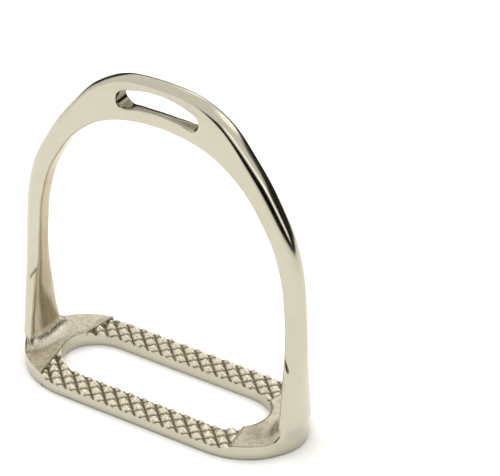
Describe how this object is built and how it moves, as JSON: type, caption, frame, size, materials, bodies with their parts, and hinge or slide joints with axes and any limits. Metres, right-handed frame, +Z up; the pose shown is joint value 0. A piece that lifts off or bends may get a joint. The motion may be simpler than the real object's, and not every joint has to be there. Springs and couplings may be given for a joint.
{
  "type": "stirrup iron",
  "caption": "Polished metal riding stirrup: arch with a slotted eye for the leather, flared feet and an open oval tread with cross-cut grip.",
  "frame": {"origin": "centre of the underside of the tread, where the iron stands", "axes": "+X along the tread towards the right branch, +Y to the rear face, +Z up towards the eye"},
  "size_m": [0.1424, 0.0546, 0.1565],
  "materials": {
    "polished_metal": "polished warm white metal",
    "cast_metal": "dull cast surface with fine pits, polished rim",
    "cross_cut_metal": "cast pyramids with bright points and dull valleys, polished rim"
  },
  "bodies": {
    "root": {"crown": "polished_metal", "left_branch": "polished_metal", "right_branch": "polished_metal", "left_foot": "polished_metal", "right_foot": "polished_metal", "left_tread_end": "cast_metal", "right_tread_end": "cast_metal", "front_tread_bar": "cross_cut_metal", "rear_tread_bar": "cross_cut_metal"}
  },
  "joints": []
}
